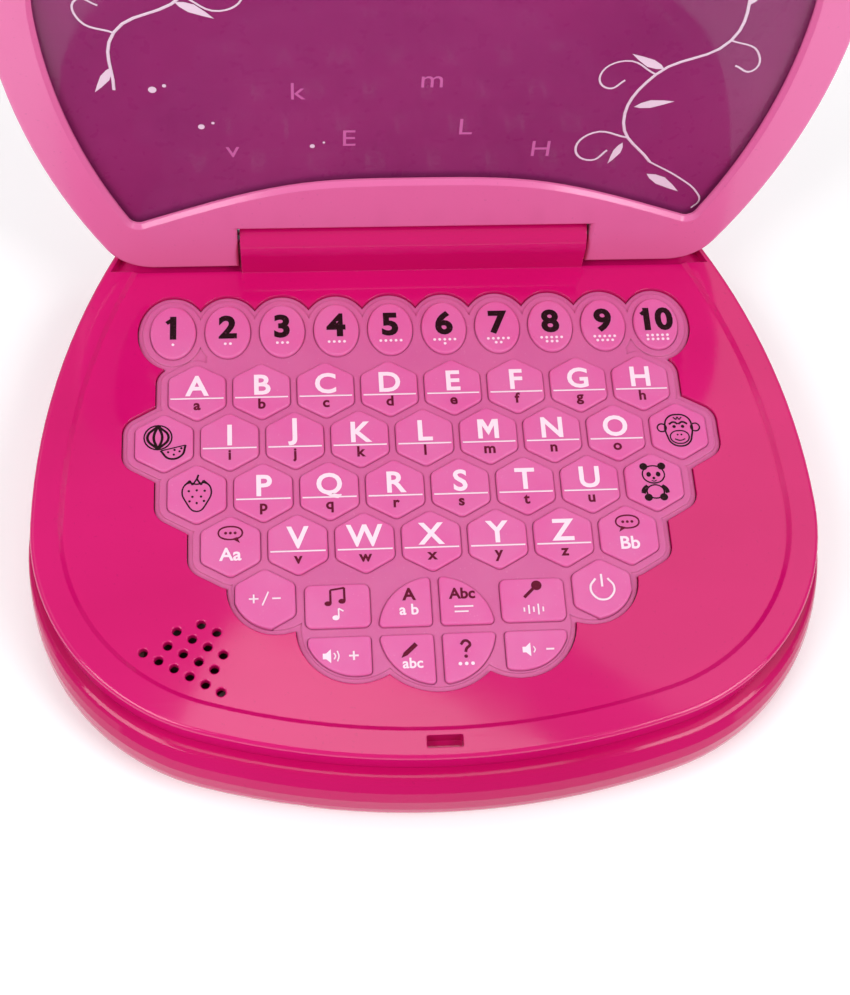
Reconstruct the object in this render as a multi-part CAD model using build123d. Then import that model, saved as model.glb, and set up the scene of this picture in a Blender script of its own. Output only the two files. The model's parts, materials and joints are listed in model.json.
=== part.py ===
from build123d import *
import os

# A clamshell learning toy: a low base with a silicone keypad, and a lid with a card behind a clear window.
# Millimetres. X is across, Y runs from the front edge back to the hinge, Z is up. The feet stand on Z = 0.
# Y = 0 is halfway between the front of the base and the back of the opened lid.

# Base outline: a shallow front arc, two corner arcs and two long side arcs, tangent to each other.
FRONT_Y = -85.7
FRONT_RADIUS = 220.0
FRONT_HALF_ANGLE = 17.0
CORNER_RADIUS = 65.0
SIDE_RADIUS = 200.0
SIDE_ANGLE = 36.0
BACK_Y = 88.3
BACK_CORNER = 14.0

# Heights in the base, all measured down from the flat rim that the lid closes on.
FOOT_HEIGHT = 1.3
RIM_Z = FOOT_HEIGHT + 27.0
DECK_Z = RIM_Z - 0.9
WEB_Z = RIM_Z - 1.4
KEY_TOP_Z = RIM_Z - 0.5
MAT_BOTTOM_Z = RIM_Z - 4.5
COVER_SPLIT_Z = RIM_Z - 7.5
SHELL_WIDEST_Z = RIM_Z - 17.0
BASE_BOTTOM_Z = FOOT_HEIGHT
FLOOR = 2.2
WALL = 2.0
ROOF = 3.2
LEDGE = 1.8
RIM_WIDTH = 9.0
LIP = 1.8
DECK_SLOPE = 55.0

# The lower shell leans forward under the top cover: its outline moves towards -Y as it goes down,
# less and less, so that the front of the shell bulges, and its upper edge is turned in.
# Each level: how far below the rim, how far the outline leans, and how far it is turned in.
SHELL_GROW = 1.3
SHELL_LEVELS = [(17.0, -7.2, 0), (13.0, -6.6, 0), (10.2, -5.1, 0),
                (8.5, -3.4, 0), (7.8, -2.7, 0.3), (7.5, -2.5, 1.0)]
SHELL_BACK_Y = BACK_Y + SHELL_GROW

# Hinge: a barrel on the base between two ears of the lid, with one short pin at each end.
HINGE_Y = 76.3
HINGE_Z = RIM_Z + 7.0
BARREL_RADIUS = 7.8
BARREL_HALF = 51.5
EAR_GAP = 0.7
PIN_RADIUS = 2.0
PIN_CLEARANCE = 0.05
DECK_BACK_Y = 69.0
EAR_WELL_DEPTH = 3.2
OPEN_ANGLE = 94.0

# Lid, drawn closed and then turned open about the hinge.
LID_GROW = 1.0
LID_BOTTOM_Z = RIM_Z + 0.6
LID_SPLIT_Z = RIM_Z + 4.6
LID_TOP_Z = RIM_Z + 13.6
LID_BACK_Y = 83.3
LID_BACK_CORNER = 15.0
LID_PLATE = 2.0
NOTCH_Y = 66.4
BEZEL_WIDTH = 12.3
WINDOW_ARCH = [(-96, 71), (-67, 59.1), (-33, 48.5), (0, 46.8), (33, 48.5), (67, 59.1), (96, 71)]
WINDOW_CORNER = 3.0
WINDOW_CHAMFER = 1.2
LENS_LAP = 2.5
LENS = 1.2
CARD = 0.5

# Keypad: rows of hexagons on a staggered grid, with a row of ovals above and shaped keys below.
KEY_PITCH = 18.5
ROW_PITCH = 16.47
LETTER_ROW_Y = 27.0
HEX_FLATS = 16.4
HEX_CORNER = 2.2
NUMBER_ROW_Y = 47.5
NUMBER_PITCH = 15.95
NUMBER_WIDTH = 13.3
NUMBER_HEIGHT = 18.0
MODE_DISC_Y = -49.1
MODE_DISC_RADIUS = 15.8
MODE_CROSS_GAP = 2.4
WINDOW_MARGIN = 3.7
CONTROL_ARC = (43.0, -35.4, 13.7)
VOLUME_ARC = (22.0, -47.7, 16.2)
DISC_ARC = (0, -47.5, 19.5)
CONTROL_KEY_GAP = 1.6
MAT_CLEARANCE = 0.2
KEY_CLEARANCE = 0.15
KEY_TRAVEL = 1.0
POCKET_FLOOR = 0.8
KEY_EDGE = 0.6
MAT_BORDER = 1.4
MAT_STEP = 0.5
TABLET = (26.7, -41.3, 17.7, 12.8)
VOLUME_BAR = (26.6, -56.0, 17.0, 11.4)
VOLUME_KEY_GAP = 2.2
SMALL_CORNER = 1.2

# Inside the base.
BOARD = 1.6
SPEAKER_X = -66.5
SPEAKER_Y = -54.7
SPEAKER_RADIUS = 14.0
BAY_Y = 19.8
BAY_LENGTH = 59.0
BAY_WIDTH = 47.0
BAY_WALL = 1.8
BAY_CEILING_Z = RIM_Z - 9.8
CELL_RADIUS = 7.2
CELL_LENGTH = 49.2
CELL_NUB = 1.3
DOOR_LENGTH = 84.0
DOOR_WIDTH = 58.0
DOOR = 1.8
DOOR_SCREW_X = 37.0
SCREW_RADIUS = 1.4
POST_SPLIT_Z = RIM_Z - 9.5
CASE_SCREWS = [(70.0, 76.8), (93.0, -13.2), (45.0, -69.2)]
LID_SCREWS = [(72.0, 71.5), (105.0, -13.0), (52.0, -74.2)]
CARD_PRESSERS = [(60.0, 25.0), (60.0, -45.0)]
BOARD_PILLARS = [(60.0, 50.0), (72.0, 5.0), (30.0, -45.0)]
FEET = [(68.0, 66.0), (80.0, -44.0)]
FOOT_RADIUS = 6.0
FOOT_SINK = 0.6

# Latch: a hook on the lid drops into a slot in the front of the rim.
LATCH_Y = -81.0
LATCH_SLOT = (9.7, 3.4)
LATCH_HOOK = (8.0, 1.4)
LATCH_DEPTH = 4.0
LATCH_WELL = (13.0, 6.0)
LATCH_FLOOR_Z = RIM_Z - 4.6

FAR = 400.0


def block(x0, x1, y0, y1, z0, z1):
    """A box from its lowest to its highest corner."""
    return Pos((x0 + x1) / 2, (y0 + y1) / 2, (z0 + z1) / 2) * Box(x1 - x0, y1 - y0, z1 - z0)


def post(x, y, radius, z0, z1):
    """An upright cylinder between two heights."""
    return Pos(x, y, (z0 + z1) / 2) * Cylinder(radius, z1 - z0)


def prism(face, z0, z1):
    """An outline drawn at Z = 0, raised between two heights."""
    return Pos(0, 0, z0) * extrude(face, z1 - z0, dir=(0, 0, 1))


def both_sides(points):
    """The points and their mirror images in X."""
    return [(side * x, y) for x, y in points for side in (1, -1)]


def plan(lean, grow, back_y, back_corner):
    """The base outline, moved by lean along Y, grown, and squared off at the back with rounded corners."""
    front = CenterArc((0, FRONT_Y + FRONT_RADIUS), FRONT_RADIUS, -90 - FRONT_HALF_ANGLE, 2 * FRONT_HALF_ANGLE)
    corner = JernArc(front @ 1, front % 1, CORNER_RADIUS, 90 - FRONT_HALF_ANGLE)
    side = JernArc(corner @ 1, corner % 1, SIDE_RADIUS, SIDE_ANGLE)
    far_corner = mirror(corner, Plane.YZ)
    far_side = mirror(side, Plane.YZ)
    tip = side @ 1
    back = Line((tip.X, tip.Y), (-tip.X, tip.Y))
    outline = make_face([front, corner, side, back, far_side, far_corner])
    outline = offset(Pos(0, lean) * outline, grow, kind=Kind.INTERSECTION)
    outline &= Pos(0, back_y - FAR) * Rectangle(2 * FAR, 2 * FAR)
    return fillet(outline.vertices().group_by(Axis.Y)[-1], back_corner) if back_corner else outline


def inset(face, amount):
    """The outline moved inwards all round."""
    return offset(face, -amount, kind=Kind.INTERSECTION)


# ---------------------------------------------------------------- keypad outlines

def hexagon(x, y):
    """A key with one point up and softened corners."""
    shape = RegularPolygon(HEX_FLATS / 2, 6, major_radius=False, rotation=30)
    return Pos(x, y) * fillet(shape.vertices(), HEX_CORNER)


def oval(x, y, grow=0):
    return Pos(x, y) * Ellipse(NUMBER_WIDTH / 2 + grow, NUMBER_HEIGHT / 2 + grow)


def tablet(x_side):
    """The wide rounded key beside the mode disc."""
    x, y, width, height = TABLET
    return Pos(x * x_side, y) * RectangleRounded(width, height, 2.0)


def quadrant(x_side, y_side):
    """One quarter of the mode disc, cut back for the cross-shaped gap."""
    gap = MODE_CROSS_GAP / 2
    corner = Pos(x_side * (gap + FAR / 2), y_side * (gap + FAR / 2)) * Rectangle(FAR, FAR)
    shape = Circle(MODE_DISC_RADIUS) & corner
    return Pos(0, MODE_DISC_Y) * fillet(shape.vertices(), SMALL_CORNER)


def volume_key(x_side):
    """A key whose outer lower corner follows the scalloped edge of the keypad."""
    x, y, width, height = VOLUME_BAR
    bar = Pos(x * x_side, y) * Rectangle(width, height)
    x, y, radius = VOLUME_ARC
    shape = bar & (Pos(x * x_side, y) * Circle(radius - VOLUME_KEY_GAP))
    return fillet(shape.vertices(), SMALL_CORNER)


def row_y(row):
    return LETTER_ROW_Y - row * ROW_PITCH


def control_key(x_side):
    """A hexagon whose outer lower side is trimmed to the scallop round it."""
    x, y, radius = CONTROL_ARC
    trim = Pos(x * x_side, y) * Circle(radius - CONTROL_KEY_GAP)
    return hexagon(2.5 * KEY_PITCH * x_side, row_y(4)) & trim


def letter_keys():
    """A to Z in four rows of 8, 7, 6 and 5, each row half a pitch in from the one above."""
    keys = {}
    letters = iter("abcdefghijklmnopqrstuvwxyz")
    for row, count in enumerate((8, 7, 6, 5)):
        for i in range(count):
            x = (i - (count - 1) / 2) * KEY_PITCH
            keys["key_letter_" + next(letters)] = hexagon(x, row_y(row))
    return keys


def other_keys():
    """The picture keys at the ends of the rows, the mode keys and the controls."""
    return {
        "key_picture_melon": hexagon(-4 * KEY_PITCH, row_y(1)),
        "key_picture_ape": hexagon(4 * KEY_PITCH, row_y(1)),
        "key_picture_strawberry": hexagon(-3.5 * KEY_PITCH, row_y(2)),
        "key_picture_panda": hexagon(3.5 * KEY_PITCH, row_y(2)),
        "key_mode_language_one": hexagon(-3 * KEY_PITCH, row_y(3)),
        "key_mode_language_two": hexagon(3 * KEY_PITCH, row_y(3)),
        "key_mode_music": tablet(-1),
        "key_mode_singing": tablet(1),
        "key_mode_letter": quadrant(-1, 1),
        "key_mode_word": quadrant(1, 1),
        "key_mode_spell": quadrant(-1, -1),
        "key_mode_asking": quadrant(1, -1),
        "key_plus_minus": control_key(-1),
        "key_power": control_key(1),
        "key_volume_up": volume_key(-1),
        "key_volume_down": volume_key(1),
    }


def number_outlines(grow=0):
    """Ten ovals in a row, each grown all round."""
    return [oval((i - 4.5) * NUMBER_PITCH, NUMBER_ROW_Y, grow) for i in range(10)]


def keypad_window(single_keys, shrink):
    """The deck opening, less a shrink: the keys grown by a margin, with round scallops along the front."""
    margin = WINDOW_MARGIN - shrink
    hexes = [key for name, key in single_keys.items() if "key_letter" in name or "picture" in name]
    hexes += [single_keys["key_mode_language_one"], single_keys["key_mode_language_two"]]
    grown = [offset(key, margin, kind=Kind.ARC) for key in hexes]
    grown += number_outlines(margin)
    grown += [Pos(side * x, y) * Circle(radius - shrink)
              for x, y, radius in (CONTROL_ARC, VOLUME_ARC, DISC_ARC) for side in (1, -1)]
    grown += [Pos(0, row_y(3) - 12) * Rectangle(76 - 2 * shrink, 28 - 2 * shrink)]
    grown += [Pos(0, (NUMBER_ROW_Y + LETTER_ROW_Y) / 2) * Rectangle(124, NUMBER_ROW_Y - LETTER_ROW_Y)]
    whole = Sketch() + grown
    return make_face(whole.face().outer_wire())


# ---------------------------------------------------------------- keypad

def key_solid(outline):
    """A key cap with a softened top edge, floating just above the floor of its pocket."""
    bottom = MAT_BOTTOM_Z + POCKET_FLOOR + KEY_TRAVEL + 0.2
    cap = prism(outline, bottom, KEY_TOP_Z)
    return fillet(cap.edges().group_by(Axis.Z)[-1], KEY_EDGE)


def keypad_mat(single_keys):
    """The silicone mat: a stepped border, a raised web, and a pocket round each key."""
    mat = prism(keypad_window(single_keys, MAT_CLEARANCE), MAT_BOTTOM_Z, WEB_Z - MAT_STEP)
    mat += prism(keypad_window(single_keys, MAT_CLEARANCE + MAT_BORDER), WEB_Z - MAT_STEP, WEB_Z)
    outlines = [offset(outline, KEY_CLEARANCE) for outline in single_keys.values()]
    outlines += number_outlines(KEY_CLEARANCE)
    return mat - [prism(outline, MAT_BOTTOM_Z + POCKET_FLOOR, RIM_Z) for outline in outlines]


# ---------------------------------------------------------------- base

def speaker_holes():
    """A sheared triangle of round holes on a square grid turned 30 degrees."""
    along = Vector(4.75, 0, 0).rotate(Axis.Z, -30)
    down = Vector(4.75, 0, 0).rotate(Axis.Z, -120)
    start = Vector(-63.5, -45.4, 0)
    rows = [(0, 2), (-1, 4), (-1, 4), (-2, 6)]
    holes = []
    for row, (first, count) in enumerate(rows):
        for i in range(first, first + count):
            centre = start + along * i + down * row
            holes.append(post(centre.X, centre.Y, 1.225, DECK_Z - ROOF, RIM_Z))
            holes.append(Pos(centre.X, centre.Y, DECK_Z - 0.1) * Cone(1.225, 1.525, 0.3))
    return holes


def base_top_cover(window):
    """The upper half of the base: rim, recessed deck, keypad window, ear wells and hinge barrel."""
    outline = plan(0, 0, BACK_Y, BACK_CORNER)
    cover = prism(outline, COVER_SPLIT_Z, RIM_Z)
    cover = fillet(cover.edges().group_by(Axis.Z)[-1], 1.2)
    hollow = inset(outline, WALL)
    front_part = Pos(0, DECK_BACK_Y - WALL - FAR / 2) * Rectangle(FAR, FAR)
    cover -= prism(hollow & front_part, COVER_SPLIT_Z, RIM_Z - ROOF)
    cover -= prism(hollow, COVER_SPLIT_Z, RIM_Z - EAR_WELL_DEPTH - WALL)

    deck = inset(plan(0, 0, DECK_BACK_Y + RIM_WIDTH, 1.0), RIM_WIDTH)
    deck += Pos(0, DECK_BACK_Y - 10) * Rectangle(150, 20.2)
    cover -= Pos(0, 0, DECK_Z) * extrude(deck, RIM_Z - DECK_Z + 0.01, taper=-DECK_SLOPE)
    well = inset(outline, LIP) & (Pos(0, (DECK_BACK_Y + FAR / 2)) * Rectangle(FAR, FAR))
    cover -= prism(well, RIM_Z - EAR_WELL_DEPTH, RIM_Z + 1)

    barrel = Pos(0, HINGE_Y, HINGE_Z) * Rot(0, 90, 0) * Cylinder(BARREL_RADIUS, 2 * BARREL_HALF)
    barrel += block(-BARREL_HALF, BARREL_HALF, HINGE_Y - BARREL_RADIUS, HINGE_Y + BARREL_RADIUS,
                    RIM_Z - EAR_WELL_DEPTH - WALL, HINGE_Z)
    inner = BARREL_RADIUS - WALL
    inner_half = BARREL_HALF - 4.5
    bore = Pos(0, HINGE_Y, HINGE_Z) * Rot(0, 90, 0) * Cylinder(inner, 2 * inner_half)
    bore += block(-inner_half, inner_half, HINGE_Y - inner, HINGE_Y + inner, COVER_SPLIT_Z, HINGE_Z)
    pin_hole = Pos(0, HINGE_Y, HINGE_Z) * Rot(0, 90, 0) * Cylinder(PIN_RADIUS, 2 * BARREL_HALF)
    cover = cover + barrel - bore - pin_hole

    cover -= prism(window, COVER_SPLIT_Z, RIM_Z)
    cover -= speaker_holes()
    cover += prism(Pos(0, LATCH_Y) * Rectangle(*LATCH_WELL), LATCH_FLOOR_Z - 1.2, RIM_Z - 1)
    slot = Pos(0, LATCH_Y) * RectangleRounded(*LATCH_SLOT, 0.6)
    cover -= prism(slot, LATCH_FLOOR_Z, RIM_Z + 1)

    ring = Circle(SPEAKER_RADIUS + 1.0) - Circle(SPEAKER_RADIUS + 0.1)
    cover += prism(Pos(SPEAKER_X, SPEAKER_Y) * ring, RIM_Z - ROOF - 1.1, RIM_Z - ROOF)
    for x, y in both_sides(CASE_SCREWS):
        roof = RIM_Z - ROOF if y < DECK_BACK_Y else RIM_Z - EAR_WELL_DEPTH - WALL
        cover += post(x, y, 3.6, POST_SPLIT_Z, roof)
        cover -= post(x, y, SCREW_RADIUS, POST_SPLIT_Z, roof + 0.6)
    return cover


def shell_level(depth, lean, inward):
    """The leaning shell's outline at a depth below the rim, moved inwards."""
    outline = plan(lean, SHELL_GROW - inward, SHELL_BACK_Y - inward, BACK_CORNER)
    return Pos(0, 0, RIM_Z - depth) * outline


def base_bottom_cover():
    """The lower half of the base: a leaning tray with the battery bay, screw posts and board pillars."""
    shell = loft([shell_level(*level) for level in SHELL_LEVELS], ruled=True)
    _, lean, _ = SHELL_LEVELS[0]
    low_outline = plan(lean, SHELL_GROW, SHELL_BACK_Y, BACK_CORNER)
    tray = prism(low_outline, BASE_BOTTOM_Z, SHELL_WIDEST_Z)
    shell += fillet(tray.edges().group_by(Axis.Z)[0], 8.0)

    hollow = loft([shell_level(depth, lean, WALL) for depth, lean, _ in SHELL_LEVELS], ruled=True)
    pit = prism(inset(low_outline, WALL), BASE_BOTTOM_Z + FLOOR, SHELL_WIDEST_Z)
    hollow += fillet(pit.edges().group_by(Axis.Z)[0], 6.0)
    shell -= hollow
    _, lean, turned_in = SHELL_LEVELS[-1]
    edge = turned_in + 0.6
    ledge = plan(lean, SHELL_GROW - edge, SHELL_BACK_Y - edge, BACK_CORNER)
    ledge -= inset(plan(0, 0, BACK_Y, BACK_CORNER), WALL)
    shell += prism(ledge, COVER_SPLIT_Z - LEDGE, COVER_SPLIT_Z)

    half_x = BAY_LENGTH / 2
    half_y = BAY_WIDTH / 2
    floor_z = BASE_BOTTOM_Z + FLOOR
    pad = Pos(0, BAY_Y) * RectangleRounded(DOOR_LENGTH + 4, DOOR_WIDTH + 4, 6)
    shell += prism(pad, BASE_BOTTOM_Z + 0.5, BASE_BOTTOM_Z + 2 * DOOR)
    shell += block(-half_x - BAY_WALL, half_x + BAY_WALL,
                   BAY_Y - half_y - BAY_WALL, BAY_Y + half_y + BAY_WALL, floor_z, BAY_CEILING_Z + 1.6)
    shell -= block(-half_x, half_x, BAY_Y - half_y, BAY_Y + half_y, BASE_BOTTOM_Z, BAY_CEILING_Z)
    recess = Pos(0, BAY_Y) * RectangleRounded(DOOR_LENGTH + 0.6, DOOR_WIDTH + 0.6, 5.3)
    shell -= prism(recess, BASE_BOTTOM_Z, BASE_BOTTOM_Z + DOOR)
    shell += post(DOOR_SCREW_X, BAY_Y, 3.4, BASE_BOTTOM_Z + DOOR, BASE_BOTTOM_Z + 14)
    shell -= post(DOOR_SCREW_X, BAY_Y, SCREW_RADIUS + PIN_CLEARANCE,
                  BASE_BOTTOM_Z + DOOR, BASE_BOTTOM_Z + 12.5)

    for x, y in both_sides(CASE_SCREWS):
        shell += post(x, y, 5.0, BASE_BOTTOM_Z + 1, POST_SPLIT_Z)
        shell -= post(x, y, 3.3, BASE_BOTTOM_Z, POST_SPLIT_Z - 5.5)
        shell -= post(x, y, SCREW_RADIUS + 0.3, BASE_BOTTOM_Z, POST_SPLIT_Z)
    for x, y in both_sides(BOARD_PILLARS):
        shell += post(x, y, 2.5, floor_z - 1, MAT_BOTTOM_Z - BOARD)
    for x, y in both_sides(FEET):
        shell -= post(x, y, FOOT_RADIUS, BASE_BOTTOM_Z, BASE_BOTTOM_Z + FOOT_SINK)
    return shell


def battery_door():
    """The plate under the batteries, with a locating rim that fits inside the bay."""
    outline = Pos(0, BAY_Y) * RectangleRounded(DOOR_LENGTH, DOOR_WIDTH, 5)
    door = prism(outline, BASE_BOTTOM_Z, BASE_BOTTOM_Z + DOOR)
    door = chamfer(door.edges().group_by(Axis.Z)[0], 0.4)
    rim = Rectangle(BAY_LENGTH - 0.8, BAY_WIDTH - 0.8) - Rectangle(BAY_LENGTH - 3.8, BAY_WIDTH - 3.8)
    door += prism(Pos(0, BAY_Y) * rim, BASE_BOTTOM_Z + DOOR, BASE_BOTTOM_Z + DOOR + 1.6)
    door -= post(DOOR_SCREW_X, BAY_Y, 2.9, BASE_BOTTOM_Z, BASE_BOTTOM_Z + 1.0)
    door -= post(DOOR_SCREW_X, BAY_Y, SCREW_RADIUS, BASE_BOTTOM_Z, BASE_BOTTOM_Z + DOOR)
    grip = [block(-38, -30, BAY_Y + y - 0.6, BAY_Y + y + 0.6, BASE_BOTTOM_Z, BASE_BOTTOM_Z + 0.6)
            for y in (-6, -3, 0, 3, 6)]
    return door - grip


def pan_screw(x, y, seat_z, length, head_radius, head):
    """A cross-head screw driven upwards: its head hangs below the seat."""
    screw = post(x, y, SCREW_RADIUS, seat_z, seat_z + length)
    cap = post(x, y, head_radius, seat_z - head, seat_z)
    screw += fillet(cap.edges().group_by(Axis.Z)[0], 0.5)
    arm = head_radius * 0.65
    for dx, dy in ((arm, 0.4), (0.4, arm)):
        screw -= block(x - dx, x + dx, y - dy, y + dy, seat_z - head, seat_z - head * 0.4)
    return screw


def batteries():
    """Three AA cells side by side, the middle one turned round."""
    cells = Part()
    centre_z = BASE_BOTTOM_Z + DOOR + 0.3 + CELL_RADIUS
    for i, way in ((-1, 1), (0, -1), (1, 1)):
        nub = Pos(0, 0, (CELL_LENGTH + CELL_NUB) / 2) * Cylinder(2.7, CELL_NUB)
        body = Cylinder(CELL_RADIUS, CELL_LENGTH) + nub
        body = fillet(body.edges().filter_by(GeomType.CIRCLE).group_by(SortBy.RADIUS)[-1], 0.6)
        cells += Pos(way * 1.5, BAY_Y + i * (2 * CELL_RADIUS + 0.4), centre_z) * Rot(0, 90 * way, 0) * body
    return cells


def battery_contacts():
    """A plate at each end of each cell, with a coned spring at the flat end and a dimple at the other."""
    contacts = Part()
    centre_z = BASE_BOTTOM_Z + DOOR + 0.3 + CELL_RADIUS
    for i, way in ((-1, 1), (0, -1), (1, 1)):
        y = BAY_Y + i * (2 * CELL_RADIUS + 0.4)
        for end in (-1, 1):
            x = end * (BAY_LENGTH / 2 - 0.25)
            contacts += block(x - 0.25, x + 0.25, y - 5.5, y + 5.5, centre_z - 5.5, centre_z + 5.5)
        flat_end = way * 1.5 - way * CELL_LENGTH / 2
        wall = -way * (BAY_LENGTH / 2 - 0.5)
        spring = abs(wall - flat_end)
        cone = Cone(4.2, 2.6, spring) - Cone(3.4, 1.8, spring)
        contacts += Pos((wall + flat_end) / 2, y, centre_z) * Rot(0, 90 * way, 0) * cone
        nub_end = way * (1.5 + CELL_LENGTH / 2 + CELL_NUB)
        dimple = abs(way * (BAY_LENGTH / 2 - 0.5) - nub_end)
        contacts += Pos(nub_end + way * dimple / 2, y, centre_z) * Rot(0, 90, 0) * Cylinder(1.6, dimple)
    return contacts


def main_circuit_board():
    """The board under the keypad, narrowing towards the front beside the speaker."""
    half = [(0, 58.8), (80, 58.8), (88, 20.8), (88, 0.8), (66, -30.2), (54, -46.2), (37, -65.2), (0, -67.2)]
    right = make_face(Polyline(*half, close=True))
    outline = right + mirror(right, Plane.YZ)
    board = prism(outline, MAT_BOTTOM_Z - BOARD, MAT_BOTTOM_Z)
    parts = [block(38, 52, 30, 44, MAT_BOTTOM_Z - BOARD - 1.4, MAT_BOTTOM_Z - BOARD),
             block(-52, -44, 32, 38, MAT_BOTTOM_Z - BOARD - 2.0, MAT_BOTTOM_Z - BOARD),
             post(44, 8, 3.1, MAT_BOTTOM_Z - BOARD - 7, MAT_BOTTOM_Z - BOARD)]
    return board + parts


def speaker():
    """A small round speaker, face up against the underside of the deck: frame, cone and magnet."""
    top = RIM_Z - ROOF
    profile = Polyline((0, top - 4.2), (4, top - 3.4), (12, top - 0.6), (12.6, top), (SPEAKER_RADIUS, top),
                       (SPEAKER_RADIUS, top - 1.0), (12.4, top - 1.2), (9.6, top - 5.2), (9.0, top - 5.2),
                       (9.0, top - 10.0), (0, top - 10.0), close=True)
    body = revolve(make_face(Plane.XZ * profile), Axis.Z)
    return Pos(SPEAKER_X, SPEAKER_Y) * body


def rubber_feet():
    feet = Part()
    for x, y in both_sides(FEET):
        foot = post(x, y, FOOT_RADIUS, 0, FOOT_HEIGHT + FOOT_SINK)
        feet += fillet(foot.edges().group_by(Axis.Z)[0], 0.5)
    return feet


def case_screws():
    screws = Part()
    for x, y in both_sides(CASE_SCREWS):
        screws += pan_screw(x, y, POST_SPLIT_Z - 5.5, 9.0, 2.9, 1.8)
    return screws


def hinge_pins():
    """One pin each side, pressed into the barrel's end wall and reaching into the ear."""
    length = 16.0
    middle = BARREL_HALF - 6.0 + length / 2
    pin = Rot(0, 90, 0) * Cylinder(PIN_RADIUS, length)
    return Part() + [Pos(side * middle, HINGE_Y, HINGE_Z) * pin for side in (-1, 1)]


# ---------------------------------------------------------------- lid

def lid_outline():
    """The lid covers the rim, with a notch at the back that clears the hinge barrel."""
    outline = plan(0, LID_GROW, LID_BACK_Y, LID_BACK_CORNER)
    half = BARREL_HALF + EAR_GAP
    notch = Pos(0, NOTCH_Y + FAR / 2) * Rectangle(2 * half, FAR)
    return outline - notch


def screen_outline(lap):
    """The window grown by a lap: the lid outline moved inwards, with an arched edge towards the hinge."""
    arch = Spline([(x, y + lap) for x, y in WINDOW_ARCH])
    corners = [arch @ 1, (FAR, LID_BACK_Y), (FAR, -FAR), (-FAR, -FAR), (-FAR, LID_BACK_Y), arch @ 0]
    in_front = make_face([arch, Polyline(*corners)])
    window = inset(plan(0, LID_GROW, FAR, 0), BEZEL_WIDTH - lap) & in_front
    return fillet(window.vertices().group_by(Axis.Y)[-1], WINDOW_CORNER + lap)


def lid_open(solid):
    """Turns a lid part, drawn closed, back to the angle it stands open at."""
    return solid.rotate(Axis((0, HINGE_Y, HINGE_Z), (1, 0, 0)), -OPEN_ANGLE)


def lid_front_bezel(outline):
    """The half of the lid that faces the keys: frame, screw bosses and latch hook."""
    bezel = prism(outline, LID_BOTTOM_Z, LID_SPLIT_Z)
    bezel = fillet(bezel.edges().group_by(Axis.Z)[0], 1.2)
    bezel -= prism(inset(outline, WALL), LID_BOTTOM_Z + LID_PLATE, LID_SPLIT_Z)
    bezel -= prism(screen_outline(0), LID_BOTTOM_Z, LID_SPLIT_Z)
    mouth = Pos(0, 0, LID_BOTTOM_Z) * screen_outline(WINDOW_CHAMFER)
    throat = Pos(0, 0, LID_BOTTOM_Z + WINDOW_CHAMFER) * screen_outline(0)
    bezel -= loft([mouth, throat], ruled=True)
    for x, y in both_sides(LID_SCREWS):
        bezel += post(x, y, 3.0, LID_BOTTOM_Z + LID_PLATE - 0.5, RIM_Z + 8)
        bezel -= post(x, y, 1.2, LID_BOTTOM_Z + LID_PLATE, RIM_Z + 8)
    half_x = LATCH_HOOK[0] / 2
    front = LATCH_Y - LATCH_HOOK[1] / 2
    bezel += block(-half_x, half_x, front, front + LATCH_HOOK[1], RIM_Z - LATCH_DEPTH, LID_BOTTOM_Z + 1)
    bezel += block(-half_x, half_x, front - 0.4, front, RIM_Z - LATCH_DEPTH, RIM_Z - LATCH_DEPTH + 1.2)
    return bezel


def lid_back_shell(outline):
    """The outer half of the lid: a crowned cover with knuckles for the pins and posts for the screws."""
    shell = prism(outline, LID_SPLIT_Z, LID_TOP_Z)
    shell = fillet(shell.edges().group_by(Axis.Z)[-1], 4.0)
    hollow = prism(inset(outline, WALL), LID_SPLIT_Z, LID_TOP_Z - LID_PLATE)
    shell -= fillet(hollow.edges().group_by(Axis.Z)[-1], 2.0)
    near = BARREL_HALF + EAR_GAP
    bore = Rot(0, 90, 0) * Cylinder(PIN_RADIUS + PIN_CLEARANCE, 10.4)
    knuckle = ((1, LID_SPLIT_Z, LID_TOP_Z - LID_PLATE + 0.2), (WALL + 0.3, RIM_Z + 3, LID_SPLIT_Z))
    for side in (-1, 1):
        for start, z0, z1 in knuckle:
            x0, x1 = sorted((side * (near + start), side * (near + 11)))
            shell += block(x0, x1, HINGE_Y - 4.6, HINGE_Y + 4.6, z0, z1)
        shell -= Pos(side * (near + 5), HINGE_Y, HINGE_Z) * bore
    for x, y in both_sides(LID_SCREWS):
        shell += post(x, y, 3.6, RIM_Z + 8, LID_TOP_Z - LID_PLATE + 0.5)
        shell -= post(x, y, 2.7, RIM_Z + 10.4, LID_TOP_Z)
        shell -= post(x, y, 1.5, RIM_Z + 8, LID_TOP_Z)
    for x, y in both_sides(CARD_PRESSERS):
        shell += post(x, y, 2.5, LID_BOTTOM_Z + LID_PLATE + LENS + CARD, LID_TOP_Z - LID_PLATE + 0.5)
    return shell


def lid_screws():
    screws = Part()
    for x, y in both_sides(LID_SCREWS):
        screw = pan_screw(x, y, 0, 7.0, 2.5, 1.4)
        screw -= Pos(x, y, 3.5) * (Cylinder(2, 7.2) - Cylinder(1.2, 7.2))
        screws += Pos(0, 0, RIM_Z + 10.4) * mirror(screw, Plane.XY)
    return screws


# ---------------------------------------------------------------- the whole toy

letters = letter_keys()
others = other_keys()
single_keys = {**letters, **others}
numbers = number_outlines()
window = keypad_window(single_keys, 0)
lid_plan = lid_outline()
lens = screen_outline(LENS_LAP)
lens_z = LID_BOTTOM_Z + LID_PLATE

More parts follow.
